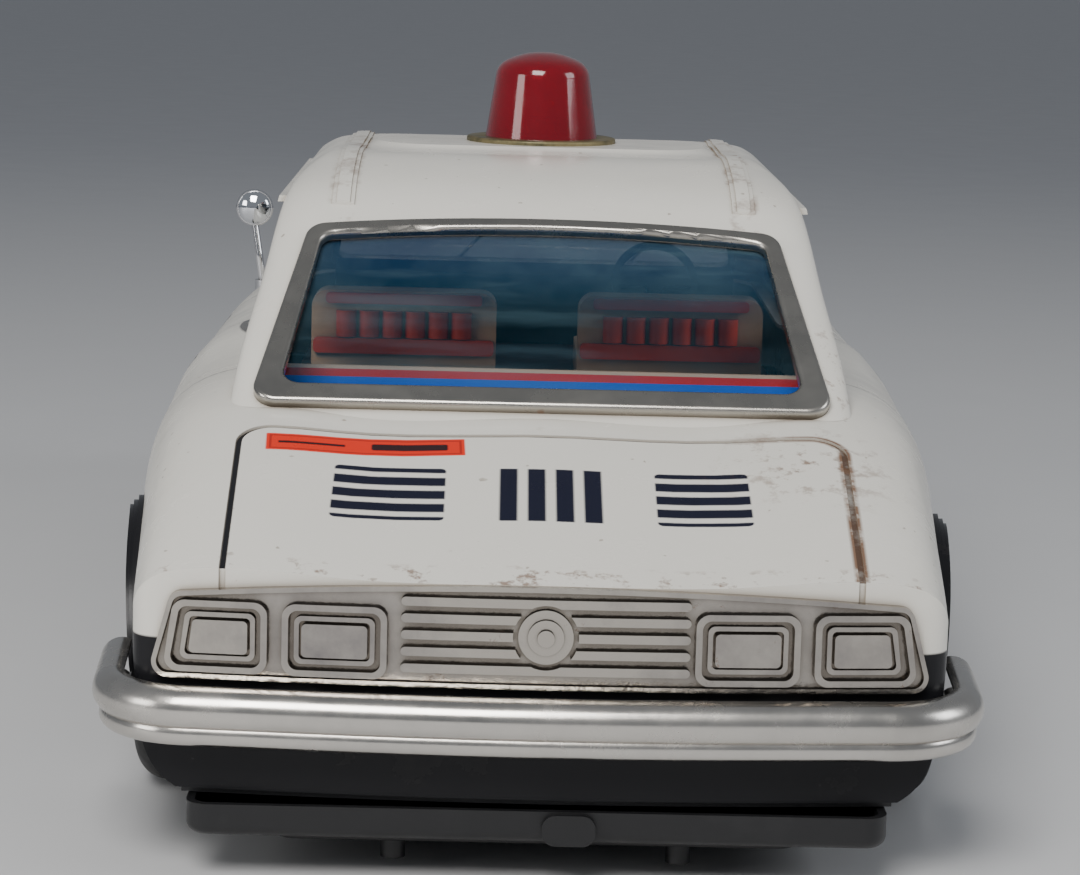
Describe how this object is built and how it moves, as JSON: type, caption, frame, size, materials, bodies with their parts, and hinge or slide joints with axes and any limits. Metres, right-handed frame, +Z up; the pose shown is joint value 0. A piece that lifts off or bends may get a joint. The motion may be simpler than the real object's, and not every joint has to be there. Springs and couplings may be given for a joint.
{
  "type": "tin toy patrol car",
  "caption": "Battery-driven tin toy saloon patrol car with a roof lamp, turning wheels behind a swivelling front axle, motor gearing and a hinged battery cover.",
  "frame": {"origin": "on the ground under the middle of the car, midway between the bumpers", "axes": "+Y forward to the nose, +X the car's right side, +Z up"},
  "size_m": [0.179, 0.4296, 0.1489],
  "materials": {
    "body_paint": "gloss litho paint, white over black, worn",
    "cabin_paint": "gloss litho paint, worn",
    "tinted_glass": "thin clear plastic sheet with a blue tint",
    "bright_trim": "nickel plate, slightly tarnished",
    "lens_clear": "moulded clear",
    "tyre_rubber": "black rubber",
    "rim_paint": "plated tin",
    "steel": "bare steel",
    "pan_tin": "dark lacquered tin",
    "black_plastic": "moulded plastic with a fine grain",
    "cell_wrap": "printed steel jacket",
    "brass_contact": "sprung brass",
    "gear_plastic": "moulded plastic",
    "motor_steel": "plated steel",
    "seat_print": "tan litho print",
    "seat_red": "red litho print",
    "cabin_tin": "dark red litho print",
    "lamp_red": "deep red translucent moulding",
    "lamp_brass": "tarnished",
    "bulb_glass": "clear",
    "mirror_face": "plated"
  },
  "bodies": {
    "car": {"body_shell": "body_paint", "cabin_shell": "cabin_paint", "rear_window": "tinted_glass", "windscreen": "tinted_glass", "side_windows": "tinted_glass", "rear_window_frame": "bright_trim", "windscreen_frame": "bright_trim", "tail_panel": "bright_trim", "grille_panel": "bright_trim", "rear_bumper": "bright_trim", "front_bumper": "bright_trim", "fender_mirror": "bright_trim", "tail_lenses": "bright_trim", "headlamp_lenses": "lens_clear", "bumper_irons": "steel", "gear_pin": "steel", "gearbox_plate_left": "steel", "gearbox_plate_right": "steel", "gearbox_spacers": "steel", "rear_axle_hangers": "steel", "steering_rivet": "steel", "chassis_screws": "steel", "body_mount_blocks": "steel", "chassis_pan": "pan_tin", "battery_tray": "black_plastic", "switch_box": "black_plastic", "steering_wheel": "black_plastic", "dashboard": "black_plastic", "battery_cells": "cell_wrap", "battery_contacts": "brass_contact", "motor_can": "motor_steel", "seats": "seat_print", "seat_pads": "seat_red", "cabin_floor": "cabin_tin", "parcel_shelf": "cabin_tin", "lamp_dome": "lamp_red", "lamp_flange": "lamp_brass", "lamp_bulb": "bulb_glass", "lamp_holder": "black_plastic", "mirror_glass": "mirror_face"},
    "rear_wheels": {"rear_axle": "steel", "axle_gear": "gear_plastic", "rear_rims": "rim_paint", "rear_tyre_left": "tyre_rubber", "rear_tyre_right": "tyre_rubber", "rear_hub_caps": "bright_trim"},
    "idler": {"compound_gear": "gear_plastic"},
    "rotor": {"motor_shaft": "steel", "motor_armature": "motor_steel", "motor_pinion": "gear_plastic"},
    "front_bracket": {"front_axle_bracket": "steel"},
    "front_wheels": {"front_axle": "steel", "front_rims": "rim_paint", "front_tyre_left": "tyre_rubber", "front_tyre_right": "tyre_rubber", "front_hub_caps": "bright_trim"},
    "cover": {"battery_cover": "black_plastic"},
    "switch": {"switch_knob": "black_plastic"}
  },
  "joints": [
    {"name": "rear_axle_spin", "type": "hinge", "parent": "car", "child": "rear_wheels", "pos_m": [0, -0.131, 0.026], "axis": [1, 0, 0], "continuous": true},
    {"name": "compound_spin", "type": "hinge", "parent": "car", "child": "idler", "pos_m": [0, -0.11997, 0.03526], "axis": [1, 0, 0], "continuous": true},
    {"name": "motor_spin", "type": "hinge", "parent": "car", "child": "rotor", "pos_m": [0, -0.10644, 0.04018], "axis": [1, 0, 0], "continuous": true},
    {"name": "front_steer", "type": "hinge", "parent": "car", "child": "front_bracket", "pos_m": [0, 0.115, 0.018], "axis": [0, 0, 1], "range_deg": [-5, 5]},
    {"name": "front_axle_spin", "type": "hinge", "parent": "front_bracket", "child": "front_wheels", "pos_m": [0, 0.115, 0.026], "axis": [1, 0, 0], "continuous": true},
    {"name": "cover_hinge", "type": "hinge", "parent": "car", "child": "cover", "pos_m": [0, -0.1575, 0.0136], "axis": [1, 0, 0], "range_deg": [0, 70]},
    {"name": "switch_slide", "type": "slide", "parent": "car", "child": "switch", "axis": [1, 0, 0], "range_m": [0, 0.004]}
  ],
  "couplings": [
    {"joint": "compound_spin", "follows": "rear_axle_spin", "ratio": -3},
    {"joint": "motor_spin", "follows": "rear_axle_spin", "ratio": 9}
  ]
}
